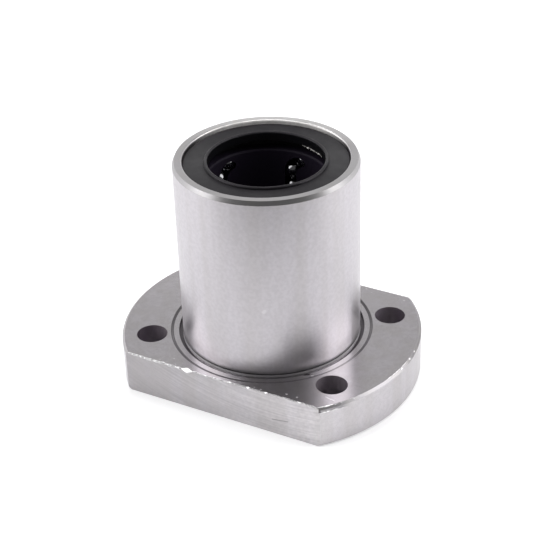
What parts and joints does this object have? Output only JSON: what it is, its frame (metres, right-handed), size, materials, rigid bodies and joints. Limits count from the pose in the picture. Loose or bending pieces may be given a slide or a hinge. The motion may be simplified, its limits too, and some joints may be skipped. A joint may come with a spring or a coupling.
{
  "type": "flanged linear ball bearing",
  "caption": "Round steel linear ball bearing with a flange cut flat on two sides, which carries and guides a round shaft sliding along its axis.",
  "frame": {"origin": "on the shaft axis in the flange's outer face, the face that it stands on", "axes": "+Z along the shaft axis from the flange up the sleeve, +X along the flange's two flats, +Y square to the flats"},
  "size_m": [0.054, 0.038, 0.042],
  "materials": {
    "ground_steel": "ground sleeve, turned flange faces and milled flats in bearing steel",
    "black_resin": "moulded resin, smooth and black",
    "spring_steel": "stamped spring steel, dark and lightly oiled",
    "seal_rubber": "moulded nitrile rubber, charcoal and matt",
    "ball_steel": "polished bearing balls"
  },
  "bodies": {
    "sleeve": {"outer_sleeve": "ground_steel", "retainer": "black_resin", "retaining_ring_top": "spring_steel", "retaining_ring_bottom": "spring_steel", "seal_top": "seal_rubber", "seal_bottom": "seal_rubber"},
    "loaded_row_1": {"loaded_balls_1": "ball_steel"},
    "upper_turn_1": {"upper_turn_balls_1": "ball_steel"},
    "return_row_1": {"return_balls_1": "ball_steel"},
    "lower_turn_1": {"lower_turn_balls_1": "ball_steel"},
    "loaded_row_2": {"loaded_balls_2": "ball_steel"},
    "upper_turn_2": {"upper_turn_balls_2": "ball_steel"},
    "return_row_2": {"return_balls_2": "ball_steel"},
    "lower_turn_2": {"lower_turn_balls_2": "ball_steel"},
    "loaded_row_3": {"loaded_balls_3": "ball_steel"},
    "upper_turn_3": {"upper_turn_balls_3": "ball_steel"},
    "return_row_3": {"return_balls_3": "ball_steel"},
    "lower_turn_3": {"lower_turn_balls_3": "ball_steel"},
    "loaded_row_4": {"loaded_balls_4": "ball_steel"},
    "upper_turn_4": {"upper_turn_balls_4": "ball_steel"},
    "return_row_4": {"return_balls_4": "ball_steel"},
    "lower_turn_4": {"lower_turn_balls_4": "ball_steel"},
    "loaded_row_5": {"loaded_balls_5": "ball_steel"},
    "upper_turn_5": {"upper_turn_balls_5": "ball_steel"},
    "return_row_5": {"return_balls_5": "ball_steel"},
    "lower_turn_5": {"lower_turn_balls_5": "ball_steel"}
  },
  "joints": [
    {"name": "circuit_1_run", "type": "slide", "parent": "sleeve", "child": "loaded_row_1", "axis": [0, 0, 1], "range_m": [0, 0.00322]},
    {"name": "circuit_1_return", "type": "slide", "parent": "sleeve", "child": "return_row_1", "axis": [0, 0, -1], "range_m": [0, 0.00322]},
    {"name": "circuit_1_upper_turn", "type": "hinge", "parent": "sleeve", "child": "upper_turn_1", "pos_m": [0.00127, 0.01178, 0.03388], "axis": [-0.09, 0.9959, 0], "range_deg": [0, 90]},
    {"name": "circuit_1_lower_turn", "type": "hinge", "parent": "sleeve", "child": "lower_turn_1", "pos_m": [0.00127, 0.01178, 0.00812], "axis": [-0.09, 0.9959, 0], "range_deg": [0, 90]},
    {"name": "circuit_2_run", "type": "slide", "parent": "sleeve", "child": "loaded_row_2", "axis": [0, 0, 1], "range_m": [0, 0.00322]},
    {"name": "circuit_2_return", "type": "slide", "parent": "sleeve", "child": "return_row_2", "axis": [0, 0, -1], "range_m": [0, 0.00322]},
    {"name": "circuit_2_upper_turn", "type": "hinge", "parent": "sleeve", "child": "upper_turn_2", "pos_m": [-0.01081, 0.00485, 0.03388], "axis": [-0.975, 0.2222, 0], "range_deg": [0, 90]},
    {"name": "circuit_2_lower_turn", "type": "hinge", "parent": "sleeve", "child": "lower_turn_2", "pos_m": [-0.01081, 0.00485, 0.00812], "axis": [-0.975, 0.2222, 0], "range_deg": [0, 90]},
    {"name": "circuit_3_run", "type": "slide", "parent": "sleeve", "child": "loaded_row_3", "axis": [0, 0, 1], "range_m": [0, 0.00322]},
    {"name": "circuit_3_return", "type": "slide", "parent": "sleeve", "child": "return_row_3", "axis": [0, 0, -1], "range_m": [0, 0.00322]},
    {"name": "circuit_3_upper_turn", "type": "hinge", "parent": "sleeve", "child": "upper_turn_3", "pos_m": [-0.00795, -0.00878, 0.03388], "axis": [-0.5126, -0.8586, 0], "range_deg": [0, 90]},
    {"name": "circuit_3_lower_turn", "type": "hinge", "parent": "sleeve", "child": "lower_turn_3", "pos_m": [-0.00795, -0.00878, 0.00812], "axis": [-0.5126, -0.8586, 0], "range_deg": [0, 90]},
    {"name": "circuit_4_run", "type": "slide", "parent": "sleeve", "child": "loaded_row_4", "axis": [0, 0, 1], "range_m": [0, 0.00322]},
    {"name": "circuit_4_return", "type": "slide", "parent": "sleeve", "child": "return_row_4", "axis": [0, 0, -1], "range_m": [0, 0.00322]},
    {"name": "circuit_4_upper_turn", "type": "hinge", "parent": "sleeve", "child": "upper_turn_4", "pos_m": [0.0059, -0.01027, 0.03388], "axis": [0.6582, -0.7528, 0], "range_deg": [0, 90]},
    {"name": "circuit_4_lower_turn", "type": "hinge", "parent": "sleeve", "child": "lower_turn_4", "pos_m": [0.0059, -0.01027, 0.00812], "axis": [0.6582, -0.7528, 0], "range_deg": [0, 90]},
    {"name": "circuit_5_run", "type": "slide", "parent": "sleeve", "child": "loaded_row_5", "axis": [0, 0, 1], "range_m": [0, 0.00322]},
    {"name": "circuit_5_return", "type": "slide", "parent": "sleeve", "child": "return_row_5", "axis": [0, 0, -1], "range_m": [0, 0.00322]},
    {"name": "circuit_5_upper_turn", "type": "hinge", "parent": "sleeve", "child": "upper_turn_5", "pos_m": [0.01159, 0.00243, 0.03388], "axis": [0.9194, 0.3933, 0], "range_deg": [0, 90]},
    {"name": "circuit_5_lower_turn", "type": "hinge", "parent": "sleeve", "child": "lower_turn_5", "pos_m": [0.01159, 0.00243, 0.00812], "axis": [0.9194, 0.3933, 0], "range_deg": [0, 90]}
  ],
  "couplings": [
    {"joint": "circuit_1_return", "follows": "circuit_1_run", "ratio": 1},
    {"joint": "circuit_1_upper_turn", "follows": "circuit_1_run", "rad_per_m": 487.82},
    {"joint": "circuit_1_lower_turn", "follows": "circuit_1_run", "rad_per_m": 487.82},
    {"joint": "circuit_2_return", "follows": "circuit_2_run", "ratio": 1},
    {"joint": "circuit_2_upper_turn", "follows": "circuit_2_run", "rad_per_m": 487.82},
    {"joint": "circuit_2_lower_turn", "follows": "circuit_2_run", "rad_per_m": 487.82},
    {"joint": "circuit_3_return", "follows": "circuit_3_run", "ratio": 1},
    {"joint": "circuit_3_upper_turn", "follows": "circuit_3_run", "rad_per_m": 487.82},
    {"joint": "circuit_3_lower_turn", "follows": "circuit_3_run", "rad_per_m": 487.82},
    {"joint": "circuit_4_return", "follows": "circuit_4_run", "ratio": 1},
    {"joint": "circuit_4_upper_turn", "follows": "circuit_4_run", "rad_per_m": 487.82},
    {"joint": "circuit_4_lower_turn", "follows": "circuit_4_run", "rad_per_m": 487.82},
    {"joint": "circuit_5_return", "follows": "circuit_5_run", "ratio": 1},
    {"joint": "circuit_5_upper_turn", "follows": "circuit_5_run", "rad_per_m": 487.82},
    {"joint": "circuit_5_lower_turn", "follows": "circuit_5_run", "rad_per_m": 487.82}
  ]
}
